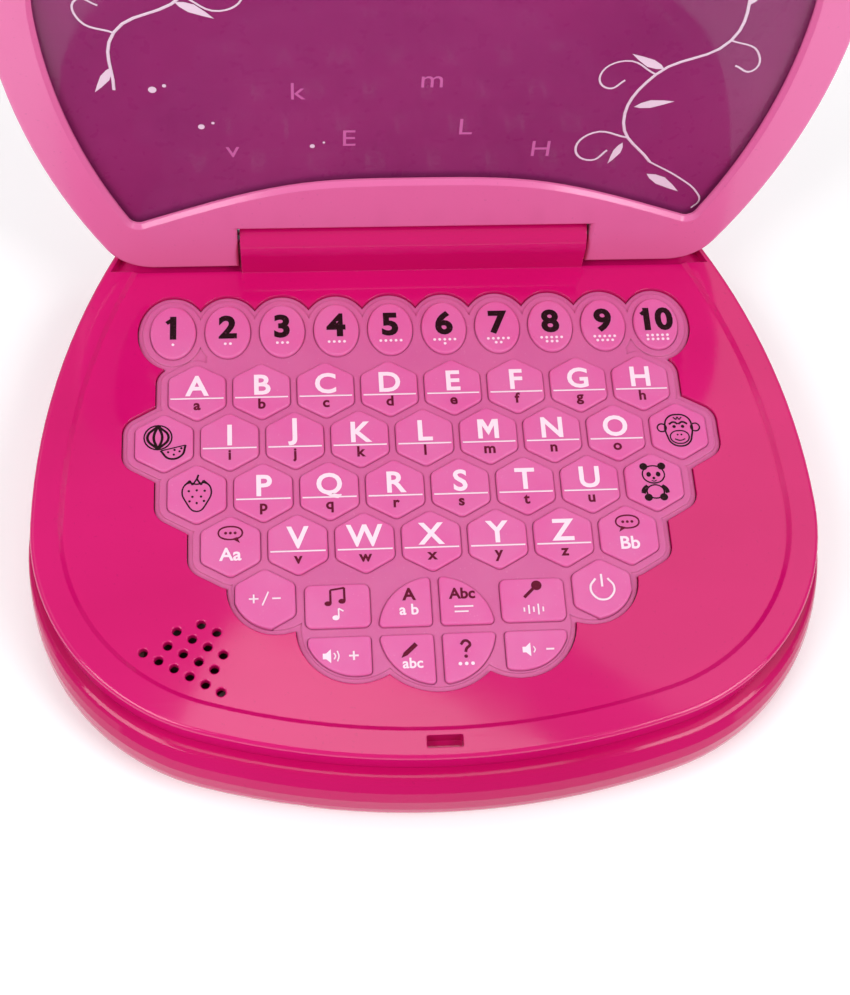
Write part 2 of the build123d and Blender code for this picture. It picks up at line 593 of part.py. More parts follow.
nodes = {
    "base_top_cover": base_top_cover(window),
    "base_bottom_cover": base_bottom_cover(),
    "keypad_mat": keypad_mat(single_keys),
    "main_circuit_board": main_circuit_board(),
    "speaker": speaker(),
    "batteries": batteries(),
    "battery_contacts": battery_contacts(),
    "battery_door": battery_door(),
    "battery_door_screw": pan_screw(DOOR_SCREW_X, BAY_Y, BASE_BOTTOM_Z + 1.0, 11.0, 2.8, 1.4),
    "rubber_feet": rubber_feet(),
    "case_screws": case_screws(),
    "hinge_pins": hinge_pins(),
    "lid_front_bezel": lid_open(lid_front_bezel(lid_plan)),
    "lid_back_shell": lid_open(lid_back_shell(lid_plan)),
    "lid_screws": lid_open(lid_screws()),
    "screen_window": lid_open(prism(lens, lens_z, lens_z + LENS)),
    "screen_card": lid_open(prism(lens, lens_z + LENS, lens_z + LENS + CARD)),
    "number_keys": Part() + [key_solid(outline) for outline in numbers],
}
nodes.update({name: key_solid(outline) for name, outline in single_keys.items()})

if __name__ == "__main__":
    os.makedirs("parts", exist_ok=True)
    for name, shape in nodes.items():
        shape.label = name
        export_step(shape, f"parts/{name}.step")
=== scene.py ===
"""Looks for a clamshell learning toy: glossy shells, keys with legends, a printed screen and a studio."""
import json
import math

import bmesh
import bpy
from mathutils import Matrix, Quaternion, Vector


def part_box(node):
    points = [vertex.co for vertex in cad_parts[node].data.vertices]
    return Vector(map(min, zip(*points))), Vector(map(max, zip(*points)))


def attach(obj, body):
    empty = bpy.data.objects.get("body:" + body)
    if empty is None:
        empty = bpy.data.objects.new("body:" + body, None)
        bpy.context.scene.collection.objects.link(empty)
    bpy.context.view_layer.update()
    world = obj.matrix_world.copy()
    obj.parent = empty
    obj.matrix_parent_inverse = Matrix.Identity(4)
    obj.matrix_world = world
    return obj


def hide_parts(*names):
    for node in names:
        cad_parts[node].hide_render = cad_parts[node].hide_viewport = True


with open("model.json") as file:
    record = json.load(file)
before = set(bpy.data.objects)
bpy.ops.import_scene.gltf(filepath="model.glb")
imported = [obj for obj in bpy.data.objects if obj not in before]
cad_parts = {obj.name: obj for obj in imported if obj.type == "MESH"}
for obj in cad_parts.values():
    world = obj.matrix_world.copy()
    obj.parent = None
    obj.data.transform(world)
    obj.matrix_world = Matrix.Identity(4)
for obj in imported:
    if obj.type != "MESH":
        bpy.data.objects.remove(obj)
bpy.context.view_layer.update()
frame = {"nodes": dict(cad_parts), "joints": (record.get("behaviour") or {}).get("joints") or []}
nodes = frame["nodes"]
scene = bpy.context.scene

MM = 0.001
INK = 0.05 * MM          # thickness of printed ink
INK_SUNK = 0.01 * MM     # how far its underside lies below the key
LAYER = 0.03             # each shape's extra height, as a share of the ink, so that shapes may cross
UNDERLINE_Y = -2.2       # millimetres from a letter key's centre
BASELINE_Y = -5.9        # baseline of the small letters
NUMBER_WIDTH = 13.3      # width of one number key
WINDOW_Y = 46.8          # middle of the window's arched lower edge, with the lid closed
PRINT_Z = 32.05          # where the screen's print starts, with the lid closed: just inside the window's back
SHEET_GAP = 0.02         # how far the printed sheet is drawn back from the window

HOT_PINK = (214, 14, 112)
DEEP_PINK = (202, 8, 102)
SOFT_PINK = (230, 118, 172)
KEY_PINK = (224, 112, 172)
MAT_PINK = (212, 106, 160)
PURPLE = (150, 48, 112)
INK_WHITE = (252, 226, 238)
INK_DARK = (30, 1, 8)
INK_MAROON = (98, 6, 40)


def linear(rgb):
    """Screen colour, 0 to 255, as the linear colour that shaders use."""
    parts = [c / 255 for c in rgb]
    return [c / 12.92 if c <= 0.04045 else ((c + 0.055) / 1.055) ** 2.4 for c in parts] + [1.0]


# ---------------------------------------------------------------- materials

class Surface:
    """A material under construction: a Principled shader and the nodes that feed it."""

    def __init__(self, name):
        self.material = bpy.data.materials.new(name)
        self.material.use_nodes = True
        self.tree = self.material.node_tree
        self.shader = self.tree.nodes["Principled BSDF"]
        self.place = self.tree.nodes.new("ShaderNodeTexCoord").outputs["Object"]

    def link(self, value, socket):
        if isinstance(value, bpy.types.NodeSocket):
            self.tree.links.new(value, socket)
        else:
            socket.default_value = value

    def node(self, kind, settings=None, **inputs):
        made = self.tree.nodes.new(kind)
        for key, value in (settings or {}).items():
            setattr(made, key, value)
        for key, value in inputs.items():
            self.link(value, made.inputs[key.replace("_", " ")])
        return made

    def noise(self, scale, detail=2.0, stretch=(1, 1, 1)):
        """Cloudy grey, with a scale in blobs per metre."""
        mapped = self.node("ShaderNodeMapping", Vector=self.place, Scale=stretch)
        made = self.node("ShaderNodeTexNoise", Vector=mapped.outputs["Vector"], Scale=scale, Detail=detail)
        return made.outputs["Fac"]

    def spread(self, value, low, high, from_low=0.3, from_high=0.7):
        """Carries a grey from one range to another."""
        made = self.node("ShaderNodeMapRange", Value=value)
        limits = {"From Min": from_low, "From Max": from_high, "To Min": low, "To Max": high}
        for name, number in limits.items():
            made.inputs[name].default_value = number
        return made.outputs["Result"]

    def mix(self, share, first, second):
        made = self.tree.nodes.new("ShaderNodeMix")
        made.data_type = "RGBA"
        self.link(share, made.inputs[0])
        self.link(first, made.inputs[6])
        self.link(second, made.inputs[7])
        return made.outputs[2]

    def math(self, operation, first, second):
        made = self.node("ShaderNodeMath", {"operation": operation})
        self.link(first, made.inputs[0])
        self.link(second, made.inputs[1])
        return made.outputs[0]

    def round_edges(self, radius):
        """A normal that is softened at edges, and how close each point is to an edge."""
        soft = self.node("ShaderNodeBevel", {"samples": 4}, Radius=radius).outputs["Normal"]
        true = self.node("ShaderNodeNewGeometry").outputs["Normal"]
        facing = self.node("ShaderNodeVectorMath", {"operation": "DOT_PRODUCT"})
        self.link(soft, facing.inputs[0])
        self.link(true, facing.inputs[1])
        return soft, self.spread(facing.outputs["Value"], 1, 0, 0.75, 0.995)

    def bump(self, height, strength, distance, normal):
        made = self.node("ShaderNodeBump", Height=height, Strength=strength, Distance=distance, Normal=normal)
        return made.outputs["Normal"]


def moulded(name, colour, shade, rough=0.045, grain=0.04, edge=0.4 * MM):
    """Glossy moulded plastic: faint flow marks, hazy handling marks, hairline scratches and rubbed edges."""
    s = Surface(name)
    flow = s.spread(s.noise(9, 3, (1, 2.5, 1)), 0, 1)
    base = s.mix(flow, linear(colour), linear(shade))
    normal, near_edge = s.round_edges(edge)
    pale = [min(1, c * 1.35 + 0.03) for c in linear(colour)]
    rubbed = s.math("MULTIPLY", near_edge, s.spread(s.noise(120), 0.02, 0.25))
    base = s.mix(rubbed, base, pale)
    specks = s.spread(s.noise(900, 1), 0, 0.25, 0.70, 0.78)
    base = s.mix(specks, base, linear([c * 0.8 for c in colour]))
    s.link(base, s.shader.inputs["Base Color"])
    handling = s.spread(s.noise(38, 4), 0, 0.06)
    scratches = s.spread(s.noise(60, 2, (1, 26, 1)), 0, 0.08, 0.66, 0.72)
    haze = s.math("ADD", s.math("ADD", handling, scratches), rough)
    s.link(haze, s.shader.inputs["Roughness"])
    normal = s.bump(s.noise(1100, 2), grain, 0.05 * MM, normal)
    normal = s.bump(s.noise(22, 2), 0.20, 0.8 * MM, normal)
    s.link(normal, s.shader.inputs["Normal"])
    s.shader.inputs["IOR"].default_value = 1.52
    return s


def silicone(name, colour, shade, edge):
    """Soft translucent rubber: cloudy colour, a fine matt skin and a painted highlight that makes rounded
    edges pale.
    """
    s = Surface(name)
    cloud = s.spread(s.noise(60, 3), 0, 1)
    base = s.mix(cloud, linear(colour), linear(shade))
    normal, near_edge = s.round_edges(edge)
    # Painted highlight: the colour is lightened near every edge, standing in for light catching the rounded
    # edges.
    pale = [min(1, c * 1.15 + 0.06) for c in linear(colour)]
    base = s.mix(s.math("MULTIPLY", near_edge, 0.55), base, pale)
    dust = s.spread(s.noise(1500, 1), 0, 0.14, 0.70, 0.80)
    base = s.mix(dust, base, linear((250, 200, 225)))
    s.link(base, s.shader.inputs["Base Color"])
    s.link(s.spread(s.noise(240, 3), 0.34, 0.50), s.shader.inputs["Roughness"])
    normal = s.bump(s.noise(2600, 2), 0.12, 0.04 * MM, normal)
    s.link(normal, s.shader.inputs["Normal"])
    s.shader.inputs["Subsurface Weight"].default_value = 0.4
    s.shader.inputs["Subsurface Radius"].default_value = (1.0, 0.45, 0.6)
    s.shader.inputs["Subsurface Scale"].default_value = 1.5 * MM
    s.shader.inputs["IOR"].default_value = 1.43
    return s


def ink(name, colour):
    """Pad-printed ink, slightly uneven, worn thin in tiny spots."""
    s = Surface(name)
    worn = s.spread(s.noise(1800, 2), 0, 0.2, 0.62, 0.78)
    s.link(s.mix(worn, linear(colour), linear(KEY_PINK)), s.shader.inputs["Base Color"])
    s.link(s.spread(s.noise(700), 0.45, 0.65), s.shader.inputs["Roughness"])
    s.shader.inputs["Specular IOR Level"].default_value = 0.2
    return s


def rough_stuff(name, colour, shade, scale, rough, metal=0.0, bump=0.1):
    """A plain worked surface: two mixed colours, uneven roughness and a fine grain."""
    s = Surface(name)
    base = s.mix(s.spread(s.noise(scale, 3), 0, 1), linear(colour), linear(shade))
    s.link(base, s.shader.inputs["Base Color"])
    s.link(s.spread(s.noise(scale * 3), rough * 0.8, rough * 1.25), s.shader.inputs["Roughness"])
    normal, _ = s.round_edges(0.15 * MM)
    s.link(s.bump(s.noise(scale * 8), bump, 0.05 * MM, normal), s.shader.inputs["Normal"])
    s.shader.inputs["Metallic"].default_value = metal
    return s


def clear_window(name):
    """A thin clear sheet: mostly see-through, with a bright reflection at low angles."""
    s = Surface(name)
    flat = s.node("ShaderNodeNewGeometry").outputs["True Normal"]
    s.link(s.mix(s.spread(s.noise(20), 0, 1), linear((250, 246, 250)), linear((236, 230, 240))),
           s.shader.inputs["Base Color"])
    s.shader.inputs["Metallic"].default_value = 1.0
    s.link(s.spread(s.noise(90, 3), 0.02, 0.07), s.shader.inputs["Roughness"])
    s.link(s.bump(s.noise(16, 1), 0.05, 0.5 * MM, flat),
           s.shader.inputs["Normal"])
    clear = s.node("ShaderNodeBsdfTransparent")
    slant = s.node("ShaderNodeLayerWeight", Blend=0.5, Normal=flat).outputs["Facing"]
    sheen = s.spread(s.math("POWER", slant, 5), 0.015, 0.3, 0, 1)
    both = s.tree.nodes.new("ShaderNodeMixShader")
    s.tree.links.new(sheen, both.inputs[0])
    s.tree.links.new(clear.outputs[0], both.inputs[1])
    s.tree.links.new(s.shader.outputs[0], both.inputs[2])
    s.tree.links.new(both.outputs[0], s.tree.nodes["Material Output"].inputs["Surface"])
    return s


def printed_card(name):
    """Printed card: a cloudy purple ground with a faint mottle and a fine print grain."""
    s = Surface(name)
    depth = s.spread(s.noise(12, 2), 0, 1)
    base = s.mix(depth, linear(PURPLE), linear((130, 36, 98)))
    mottle = s.spread(s.noise(160, 3), 0, 0.07)
    base = s.mix(mottle, base, linear((172, 70, 132)))
    s.link(base, s.shader.inputs["Base Color"])
    s.link(s.spread(s.noise(300), 0.25, 0.4), s.shader.inputs["Roughness"])
    s.shader.inputs["Specular IOR Level"].default_value = 0.1
    flat = s.node("ShaderNodeNewGeometry").outputs["True Normal"]
    s.link(s.bump(s.noise(2200), 0.05, 0.03 * MM, flat), s.shader.inputs["Normal"])
    return s


def battery_jacket(name):
    """A printed sleeve: dark with a lighter band at one end of the cells."""
    s = Surface(name)
    across = s.node("ShaderNodeSeparateXYZ", Vector=s.place).outputs["X"]
    band = s.spread(across, 0, 1, 0.012, 0.013)
    s.link(s.mix(band, linear((38, 38, 44)), linear((186, 140, 60))), s.shader.inputs["Base Color"])
    s.link(s.spread(s.noise(200), 0.25, 0.4), s.shader.inputs["Roughness"])
    s.shader.inputs["Metallic"].default_value = 0.4
    return s


hot = moulded("base_plastic", HOT_PINK, DEEP_PINK)
# Painted shade: the lower shell and battery door get a deeper pink than the top cover, standing in for the
# shade on the lower walls; their weaker gloss dims the floor's reflection.
lower_painted_shade = moulded("lower_shell_painted_shade_plastic", (198, 8, 98), (186, 4, 88))
lower_painted_shade.shader.inputs["Specular IOR Level"].default_value = 0.3
lid = moulded("lid_plastic", SOFT_PINK, (230, 108, 168), rough=0.14)
soft_key = silicone("key_silicone", KEY_PINK, (224, 98, 166), 0.45 * MM)
soft_mat = silicone("mat_silicone", MAT_PINK, (208, 98, 156), 0.6 * MM)
white_ink = ink("white_ink", INK_WHITE)
dark_ink = ink("dark_ink", INK_DARK)
maroon_ink = ink("maroon_ink", INK_MAROON)
vine_ink = ink("vine_ink", (236, 214, 232))
window = clear_window("clear_window")
card = printed_card("printed_card")
board = rough_stuff("solder_mask", (18, 92, 44), (12, 70, 36), 400, 0.35)
cone = rough_stuff("speaker_cone", (72, 26, 28), (44, 18, 20), 500, 0.5)
rubber = rough_stuff("foot_rubber", (34, 30, 32), (48, 44, 46), 600, 0.75, bump=0.3)
steel = rough_stuff("zinc_steel", (170, 170, 176), (140, 142, 150), 700, 0.3, metal=1.0)
nickel = rough_stuff("nickel", (198, 196, 190), (170, 168, 160), 500, 0.25, metal=1.0)
jacket = battery_jacket("cell_jacket")

FINISHES = {
    "base_top_cover": hot, "base_bottom_cover": lower_painted_shade, "battery_door": lower_painted_shade,
    "lid_front_bezel": lid, "lid_back_shell": lid,
    "keypad_mat": soft_mat, "screen_window": window, "screen_card": card,
    "main_circuit_board": board, "speaker": cone, "rubber_feet": rubber,
    "batteries": jacket, "battery_contacts": nickel,
    "battery_door_screw": steel, "case_screws": steel, "lid_screws": steel, "hinge_pins": steel,
}
for name, node in nodes.items():
    node.data.materials.clear()
    node.data.materials.append(FINISHES.get(name, soft_key).material)


# ---------------------------------------------------------------- printed shapes

def mesh_of(curve):
    """The mesh that a curve or text makes."""
    made = bpy.data.objects.new("scratch", curve)
    scene.collection.objects.link(made)
    evaluated = made.evaluated_get(bpy.context.evaluated_depsgraph_get())
    mesh = bpy.data.meshes.new_from_object(evaluated)
    bpy.data.objects.remove(made)
    return mesh


def text_curve(text, weight):
    curve = bpy.data.curves.new("text", "FONT")
    curve.body = text
    curve.align_x = "CENTER"
    curve.offset = weight
    curve.extrude = 0.5
    curve.resolution_u = 4
    return curve


CAPITAL = max(v.co.y for v in mesh_of(text_curve("H", 0)).vertices)


class Print:
    """Flat printed shapes in millimetres round a centre, gathered into one mesh."""

    def __init__(self):
        self.made = bmesh.new()
        self.layers = 0

    def take(self, curve, matrix):
        """Adds a curve's mesh, moved by the matrix and then pressed to the thickness of ink."""
        mesh = mesh_of(curve)
        mesh.transform(matrix)
        heights = [v.co.z for v in mesh.vertices]
        low, high = min(heights), max(heights)
        self.layers += 1
        for v in mesh.vertices:
            v.co.z = 0.0 if v.co.z < (low + high) / 2 else 1 + LAYER * self.layers
        self.made.from_mesh(mesh)

    def letters(self, text, x, y, height, weight=0.0):
        """Text centred on x, standing on y, with capitals of the given height. A J is lifted to the line."""
        scale = height / CAPITAL
        lift = height * 0.26 if text == "J" else 0
        place = Matrix.Translation((x, y + lift, 0)) @ Matrix.Scale(scale, 4)
        self.take(text_curve(text, weight), place)

    def spline(self, curve, points, closed, handle="AUTO"):
        spline = curve.splines.new("BEZIER")
        spline.bezier_points.add(len(points) - 1)
        for target, (x, y) in zip(spline.bezier_points, points):
            target.co = (x, y, 0)
            target.handle_left_type = target.handle_right_type = handle
        spline.use_cyclic_u = closed
        spline.resolution_u = 6

    def line(self, points, width, closed=False):
        """A smooth stroke of even width through the points."""
        curve = bpy.data.curves.new("line", "CURVE")
        curve.dimensions = "3D"
        curve.bevel_depth = width / 2
        curve.bevel_resolution = 1
        curve.use_fill_caps = True
        self.spline(curve, points, closed)
        self.take(curve, Matrix.Identity(4))

    def corners(self, points, width):
        """Straight strokes between the points."""
        for start, end in zip(points, points[1:]):
            self.line([start, end], width)

    def fill(self, points, handle="AUTO"):
        """A filled shape through the points: smooth, or with straight sides if the handle is VECTOR."""
        curve = bpy.data.curves.new("fill", "CURVE")
        curve.dimensions = "2D"
        curve.fill_mode = "BOTH"
        curve.extrude = 0.5
        self.spline(curve, points, True, handle)
        self.take(curve, Matrix.Identity(4))

    def dot(self, x, y, radius):
        self.fill(ring(x, y, radius))

    def build(self, name, body, surface, place):
        """Makes the piece: the print's own Z becomes the ink's thickness above the place it is laid on."""
        mesh = bpy.data.meshes.new(name)
        self.made.to_mesh(mesh)
        self.made.free()
        mesh.transform(place @ Matrix.Diagonal((MM, MM, INK, 1)))
        mesh.materials.append(surface.material)
        piece = bpy.data.objects.new(name, mesh)
        scene.collection.objects.link(piece)
        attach(piece, body)
        return piece


def ring(x, y, radius, squash=1.0):
    """Four points that a smooth closed stroke turns into a circle."""
    return [(x + radius, y), (x, y + radius * squash), (x - radius, y), (x, y - radius * squash)]


def both(points):
    """Points down one side, then back up the other side of X = 0."""
    return points + [(-x, y) for x, y in reversed(points) if abs(x) > 0.01]


def key_place(name):
    """The middle of a key's top, as a matrix."""
    low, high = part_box(name)
    return Matrix.Translation(((low.x + high.x) / 2, (low.y + high.y) / 2, high.z - INK_SUNK))


# ---------------------------------------------------------------- legends

# The capital M is drawn here, because thickening the built-in one folds its outline.
BLOCK_M = [(0, 1.0), (1.7, 4.2), (1.7, 0), (3.0, 0), (3.0, 6.3), (1.3, 6.3), (0, 3.7),
           (-1.3, 6.3), (-3.0, 6.3), (-3.0, 0), (-1.7, 0), (-1.7, 4.2)]


def letter_legend(key, letter):
    """A bold capital over a line, with the small letter below it."""
    pale, dark = Print(), Print()
    if letter == "m":
        pale.fill([(x, y + UNDERLINE_Y + 1.05) for x, y in BLOCK_M], "VECTOR")
    else:
        pale.letters(letter.upper(), 0, UNDERLINE_Y + 1.05, 6.3, 0.022)
    pale.line([(-7.6, UNDERLINE_Y), (7.6, UNDERLINE_Y)], 0.5)
    dark.letters(letter, 0, BASELINE_Y, 3.1, 0.030)
    pale.build(f"legend_{letter}_capital", key, white_ink, key_place(key))
    dark.build(f"legend_{letter}_small", key, maroon_ink, key_place(key))


def number_legends():
    """Figures one to ten, each over as many small counting dots."""
    low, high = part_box("number_keys")
    middle = (low.y + high.y) / 2
    first = low.x / MM + NUMBER_WIDTH / 2
    step = ((high.x - low.x) / MM - NUMBER_WIDTH) / 9
    pale, dark = Print(), Print()
    for i in range(10):
        x = first + i * step
        dark.letters(str(i + 1), x, -2.1, 7.1, 0.040)
        if i in (0, 9):
            flag = x - (0.3 if i == 0 else 2.6)
            dark.line([(flag, 4.3), (flag - 1.6, 3.1)], 1.3)
        rows = [min(i + 1, 5), max(i - 4, 0)]
        for row, count in enumerate(rows):
            for k in range(count):
                pale.dot(x + (k - (count - 1) / 2) * 1.5, -4.3 - 1.4 * row, 0.42)
    place = Matrix.Translation((0, middle, high.z - INK_SUNK))
    dark.build("legend_numbers", "number_keys", dark_ink, place)
    pale.build("legend_number_dots", "number_keys", white_ink, place)


def melon(dark, pale):
    dark.line(ring(-1.7, 1.7, 3.9), 0.45, True)
    for bend in (-3.0, -1.2, 1.2, 3.0):
        dark.line([(-1.7, 5.5), (-1.7 + bend, 1.7), (-1.7, -2.1)], 0.75)
    dark.line([(-0.9, -2.6), (6.1, -0.9)], 0.4)
    dark.line([(-0.9, -2.6), (1.6, -5.2), (5.0, -4.2), (6.1, -0.9)], 0.6)
    for x, y in ((1.2, -3.1), (2.8, -3.9), (3.0, -2.4), (4.4, -2.9), (4.9, -1.9)):
        dark.dot(x, y, 0.33)


def strawberry(dark, pale):
    dark.line(both([(0, 2.9), (2.4, 3.3), (4.0, 1.2), (3.0, -2.6), (0, -5.6)]), 0.45, True)
    dark.corners([(-3.4, 2.6), (-1.9, 4.1), (-1.2, 2.7), (0, 4.6), (1.2, 2.7), (1.9, 4.1), (3.4, 2.6)], 0.5)
    dark.line([(0, 4.4), (0.5, 5.9)], 0.55)
    seeds = ((0, 1.0), (-2.2, 0.8), (2.2, 0.8), (-1.2, -1.0),
             (1.2, -1.0), (0, -3.0), (-2.0, -2.4), (2.0, -2.4))
    for x, y in seeds:
        dark.dot(x, y, 0.34)


def ape(dark, pale):
    dark.line(both([(0, 5.2), (2.8, 4.3), (4.0, 1.4), (3.6, -1.8), (2.6, -4.2), (0, -5.3)]), 0.5, True)
    for side in (-1, 1):
        dark.line(ring(4.9 * side, 0.9, 1.3), 0.45, True)
        dark.dot(1.25 * side, 1.2, 0.5)
        dark.dot(0.55 * side, -1.5, 0.28)
        dark.line([(2.7 * side, 2.0), (1.3 * side, 2.7), (0.1 * side, 2.0)], 0.6)
    dark.line(both([(0, -0.2), (2.3, -1.0), (2.7, -2.7), (1.5, -4.1), (0, -4.4)]), 0.4, True)
    dark.line([(-1.5, -2.9), (0, -3.4), (1.5, -2.9)], 0.4)
    dark.corners([(-1.2, 4.3), (-0.5, 3.5), (0, 4.4), (0.5, 3.5), (1.2, 4.3)], 0.4)


def panda(dark, pale):
    dark.line(ring(0, 2.2, 3.2, 0.88), 0.45, True)
    dark.line(ring(0, -3.3, 2.5, 0.86), 0.45, True)
    for side in (-1, 1):
        dark.dot(2.6 * side, 4.8, 1.15)
        dark.fill([(1.9 * side, 1.7), (1.5 * side, 3.0), (0.8 * side, 2.6), (1.0 * side, 1.6)])
        dark.line([(2.0 * side, -1.5), (3.2 * side, -2.6), (3.5 * side, -3.8)], 1.3)
        dark.dot(2.2 * side, -5.1, 1.15)
    dark.dot(0, 1.0, 0.42)
    dark.line([(-0.7, 0.3), (0, 0.0), (0.7, 0.3)], 0.35)


def language(tail):
    """A speech bubble with its tail to one side, over two letters."""
    def draw(dark, pale):
        dark.line(ring(0, 3.9, 3.3, 0.6), 0.5, True)
        dark.fill([(0.4 * tail, 2.1), (2.6 * tail, 0.8), (1.9 * tail, 2.6)], "VECTOR")
        for k in (-1, 0, 1):
            dark.dot(1.3 * k, 3.9, 0.42)
        pale.letters("Aa" if tail > 0 else "Bb", 0, -4.4, 3.7, 0.02)
    return draw


def notes(dark, pale):
    dark.corners([(-1.9, 0.6), (-1.9, 4.6), (1.9, 5.2), (1.9, 1.2)], 0.6)
    dark.fill(ring(-2.6, 0.6, 0.95, 0.75))
    dark.fill(ring(1.2, 1.2, 0.95, 0.75))
    pale.fill(ring(-0.6, -3.6, 0.95, 0.75))
    pale.corners([(0.2, -3.6), (0.2, -0.9), (1.5, -1.7)], 0.45)


def microphone(dark, pale):
    dark.dot(1.3, 4.1, 1.45)
    dark.corners([(0.6, 3.4), (-2.3, 0.6)], 0.9)
    for bar, tall in enumerate((0.6, 1.3, 0.8, 1.6, 0.7)):
        x = 1.3 * (bar - 2)
        pale.line([(x, -3.0 - tall), (x, -3.0 + tall)], 0.5)


def letter_mode(dark, pale):
    dark.letters("A", 1.2, 0.4, 3.4, 0.03)
    pale.letters("a b", 1.0, -3.9, 3.0, 0.02)


def word_mode(dark, pale):
    dark.letters("Abc", -1.0, 0.4, 3.0, 0.03)
    pale.corners([(-3.4, -2.0), (1.8, -2.0)], 0.5)
    pale.corners([(-3.4, -3.5), (0.4, -3.5)], 0.5)


def spell_mode(dark, pale):
    dark.corners([(-0.6, 1.4), (2.4, 4.2)], 1.3)
    dark.fill([(-1.8, 0.3), (-0.2, 1.0), (-1.1, 1.9)], "VECTOR")
    pale.letters("abc", 1.2, -2.6, 2.8, 0.02)


def asking_mode(dark, pale):
    dark.line([(-2.4, 3.6), (-1.2, 4.7), (0.1, 3.6), (-0.9, 2.4), (-1.2, 1.4)], 0.8)
    dark.dot(-1.2, 0.2, 0.5)
    for k in (-1, 0, 1):
        pale.dot(1.7 * k - 1.2, -1.9, 0.5)


def power(dark, pale):
    pale.line([(1.7, 2.9), (3.3, 0.3), (2.2, -2.6), (0, -3.5), (-2.2, -2.6), (-3.3, 0.3), (-1.7, 2.9)], 0.65)
    pale.line([(0, 4.2), (0, 0.4)], 0.65)


def plus_minus(dark, pale):
    pale.line([(-4.4, 0), (-1.8, 0)], 0.5)
    pale.line([(-3.1, 1.3), (-3.1, -1.3)], 0.5)
    pale.line([(-0.8, -2.0), (0.9, 2.0)], 0.45)
    pale.line([(1.9, 0), (4.2, 0)], 0.5)


def speaker_sign(x, waves, pale):
    """A small loudspeaker with sound waves."""
    horn = [(-1.4, 0.8), (-1.4, -0.8), (-0.5, -0.8), (0.8, -2.0), (0.8, 2.0), (-0.5, 0.8)]
    pale.fill([(x + dx, y) for dx, y in horn], "VECTOR")
    for k in range(waves):
        reach = x + 1.9 + 0.9 * k
        tall = 0.9 + 0.6 * k
        pale.line([(reach - 0.3, tall), (reach + 0.1, 0), (reach - 0.3, -tall)], 0.4)


def volume_up(dark, pale):
    speaker_sign(-3.2, 2, pale)
    pale.line([(2.4, 0), (5.0, 0)], 0.55)
    pale.line([(3.7, 1.3), (3.7, -1.3)], 0.55)


def volume_down(dark, pale):
    speaker_sign(-2.6, 1, pale)
    pale.line([(2.4, 0), (4.6, 0)], 0.55)


SIGNS = {
    "key_picture_melon": melon, "key_picture_ape": ape,
    "key_picture_strawberry": strawberry, "key_picture_panda": panda,
    "key_mode_language_one": language(1), "key_mode_language_two": language(-1),
    "key_mode_music": notes, "key_mode_singing": microphone,
    "key_mode_letter": letter_mode, "key_mode_word": word_mode,
    "key_mode_spell": spell_mode, "key_mode_asking": asking_mode,
    "key_plus_minus": plus_minus, "key_power": power,
    "key_volume_up": volume_up, "key_volume_down": volume_down,
}

for letter in "abcdefghijklmnopqrstuvwxyz":
    letter_legend("key_letter_" + letter, letter)
number_legends()
for key, draw in SIGNS.items():
    dark, pale = Print(), Print()
    draw(dark, pale)
    deep = dark_ink if "picture" in key else maroon_ink
    for shape, surface, word in ((dark, deep, "dark"), (pale, white_ink, "pale")):
        if shape.made.verts:
            shape.build(f"sign_{key[4:]}_{word}", key, surface, key_place(key))


# ---------------------------------------------------------------- screen print

hinge = next(j for j in frame["joints"] if j["name"] == "lid_hinge")
hinge_point = Matrix.Translation(hinge["pos_m"])
swing = Matrix.Rotation(-math.radians(hinge["range_deg"][1]), 4, "X")
opened = hinge_point @ swing @ hinge_point.inverted()
# Screen coordinates: U to the right and V up the open lid from the middle of the window's arched lower edge.
SCREEN_FOOT = (0, WINDOW_Y * MM, PRINT_Z * MM)
on_screen = opened @ Matrix.Translation(SCREEN_FOOT) @ Matrix.Rotation(math.pi, 4, "X")


def printed_sheet():
    """Stands for the card, with its front drawn back because the CAD card shares a plane with the window."""
    source = nodes["screen_card"]
    mesh = source.data.copy()
    mesh.transform(on_screen.inverted() @ source.matrix_world)
    heights = [v.co.z for v in mesh.vertices]
    middle = (min(heights) + max(heights)) / 2
    for v in mesh.vertices:
        if v.co.z > middle:
            v.co.z -= SHEET_GAP * MM
    mesh.transform(on_screen)
    sheet = bpy.data.objects.new("printed_sheet", mesh)
    scene.collection.objects.link(sheet)
    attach(sheet, "lid")
    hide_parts("screen_card")


def leaf(shape, x, y, length, angle):
    """A leaf growing from a point: full near its stem, and running out to a tip."""
    turn = Matrix.Rotation(math.radians(angle), 2)
    outline = [(0, 0), (0.18, 0.10), (0.42, 0.15), (0.75, 0.08),
               (1, 0), (0.72, -0.06), (0.40, -0.11), (0.15, -0.07)]
    shape.fill([(Vector((x, y)) + turn @ Vector(p) * length)[:] for p in outline], "VECTOR")


def vine(shape, mirror_u, foot, rise):
    """A curling stem with side tendrils and leaves."""
    def at(u, v):
        return (mirror_u * u, foot + rise * v)

    shape.line([at(66, 4), at(56, 20), at(62, 38), at(80, 50), at(82, 70)], 0.9)
    shape.line([at(66, 4), at(76, -3), at(82, -9), at(83.6, -13), at(81.8, -16)], 0.6)
    shape.line([at(58, 14), at(48, 16), at(44, 9), at(49, 5), at(53, 9)], 0.7)
    shape.line([at(62, 38), at(53, 43), at(47, 38), at(50, 33), at(54, 36)], 0.6)
    shape.line([at(80, 50), at(88, 46), at(88, 39), at(83, 41)], 0.6)
    leaves = ((66, -1, 13, -36), (58, 26, 11, 10), (64, 40, 11, 150), (82, 62, 10, 60), (57, 12, 9, 250))
    for u, v, length, angle in leaves:
        way = angle if mirror_u > 0 else 180 - angle
        leaf(shape, *at(u, v), length, way if rise > 0 else -way)


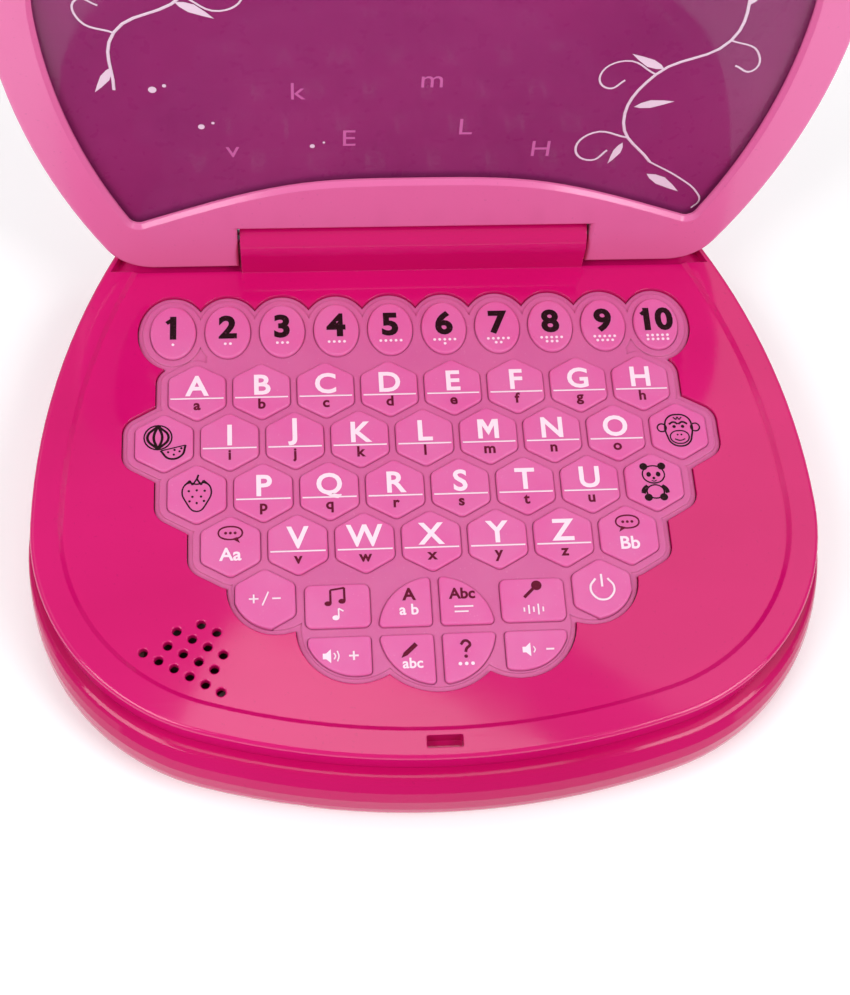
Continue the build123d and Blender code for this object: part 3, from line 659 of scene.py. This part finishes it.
printed_sheet()
print_shapes = Print()
vine(print_shapes, 1, 0, 1)
vine(print_shapes, -1, 104, -1)
DOTS = ((-60, 20, 0.9), (-46, 92, 1.2), (40, 98, 0.8), (58, 88, 1.3),
        (-72, 34, 1.1), (22, 104, 0.9), (-30, 12, 0.7))
for u, v, size in DOTS:
    print_shapes.dot(u, v, size)
    print_shapes.dot(u + 3.2, v + 1.4, size * 0.5)
print_shapes.build("screen_vines", "lid", vine_ink, on_screen)

faint = Print()
for text, u, v in (("v", -52, 8), ("E", -20, 12), ("L", 12, 16), ("H", 34, 7), ("k", -34, 30), ("m", 2, 34)):
    faint.letters(text, u, v, 6.0, 0.0)
faint.build("screen_faint_letters", "lid", ink("faint_ink", (204, 104, 170)), on_screen)


# ---------------------------------------------------------------- studio

def floor():
    """Pale paper that gives off a little light of its own, to reach an even white."""
    mesh = bpy.data.meshes.new("floor")
    made = bmesh.new()
    bmesh.ops.create_grid(made, x_segments=1, y_segments=1, size=6)
    made.to_mesh(mesh)
    made.free()
    s = Surface("floor_paper")
    paper = s.mix(s.spread(s.noise(3), 0, 1), (0.96, 0.96, 0.96, 1), (0.94, 0.94, 0.945, 1))
    s.link(paper, s.shader.inputs["Base Color"])
    s.link(s.spread(s.noise(40), 0.85, 0.95), s.shader.inputs["Roughness"])
    s.shader.inputs["Specular IOR Level"].default_value = 0.1
    s.shader.inputs["Emission Color"].default_value = (1, 1, 1, 1)
    s.shader.inputs["Emission Strength"].default_value = 0.15
    mesh.materials.append(s.material)
    made_floor = bpy.data.objects.new("floor", mesh)
    scene.collection.objects.link(made_floor)


def softbox(name, place, target, width, height, watts, turn=0):
    """A rectangular lamp that faces a point, turned in degrees about its own beam."""
    lamp = bpy.data.lights.new(name, "AREA")
    lamp.shape = "RECTANGLE"
    lamp.size, lamp.size_y = width, height
    lamp.energy = watts
    made = bpy.data.objects.new(name, lamp)
    scene.collection.objects.link(made)
    made.location = place
    made.rotation_mode = "QUATERNION"
    aim = (Vector(target) - Vector(place)).to_track_quat("-Z", "Y")
    made.rotation_quaternion = aim @ Quaternion((0, 0, 1), math.radians(turn))


def studio_light():
    world = bpy.data.worlds.new("studio")
    scene.world = world
    world.use_nodes = True
    world.node_tree.nodes["Background"].inputs["Color"].default_value = (0.94, 0.95, 0.96, 1)
    world.node_tree.nodes["Background"].inputs["Strength"].default_value = 0.34
    softbox("overhead", (0.01, 0.15, 1.05), (0.01, 0.15, 0), 0.42, 0.36, 1.1, turn=-29)
    softbox("right_panel", (0.45, 0.515, 1.05), (0.45, 0.515, 0), 0.8, 0.55, 1.1, turn=-43)
    softbox("left_panel", (-0.75, 0.45, 1.05), (-0.75, 0.45, 0), 0.66, 0.8, 1.1)
    softbox("left_fill", (-0.9, -0.55, 1.15), (0, 0, 0.05), 0.8, 0.8, 11)
    softbox("right_fill", (0.95, -0.6, 1.15), (0, 0, 0.05), 0.7, 0.9, 12)


def camera():
    """Stands where the toy is seen from above its front edge, turned slightly about its own line of sight."""
    lens = bpy.data.cameras.new("camera")
    lens.lens = 60.6
    lens.sensor_width = 36
    lens.clip_start, lens.clip_end = 0.01, 50
    made = bpy.data.objects.new("camera", lens)
    scene.collection.objects.link(made)
    right = Vector((0.99666, -0.05949, 0.05587))
    up = Vector((0.02744, 0.88903, 0.45702))
    back = Vector((-0.07686, -0.45396, 0.88770))
    turned = Matrix((right, up, back)).transposed().to_4x4()
    made.matrix_world = Matrix.Translation((-0.03721, -0.22292, 0.44583)) @ turned
    scene.camera = made


floor()
studio_light()
camera()
scene.view_settings.view_transform = "Standard"
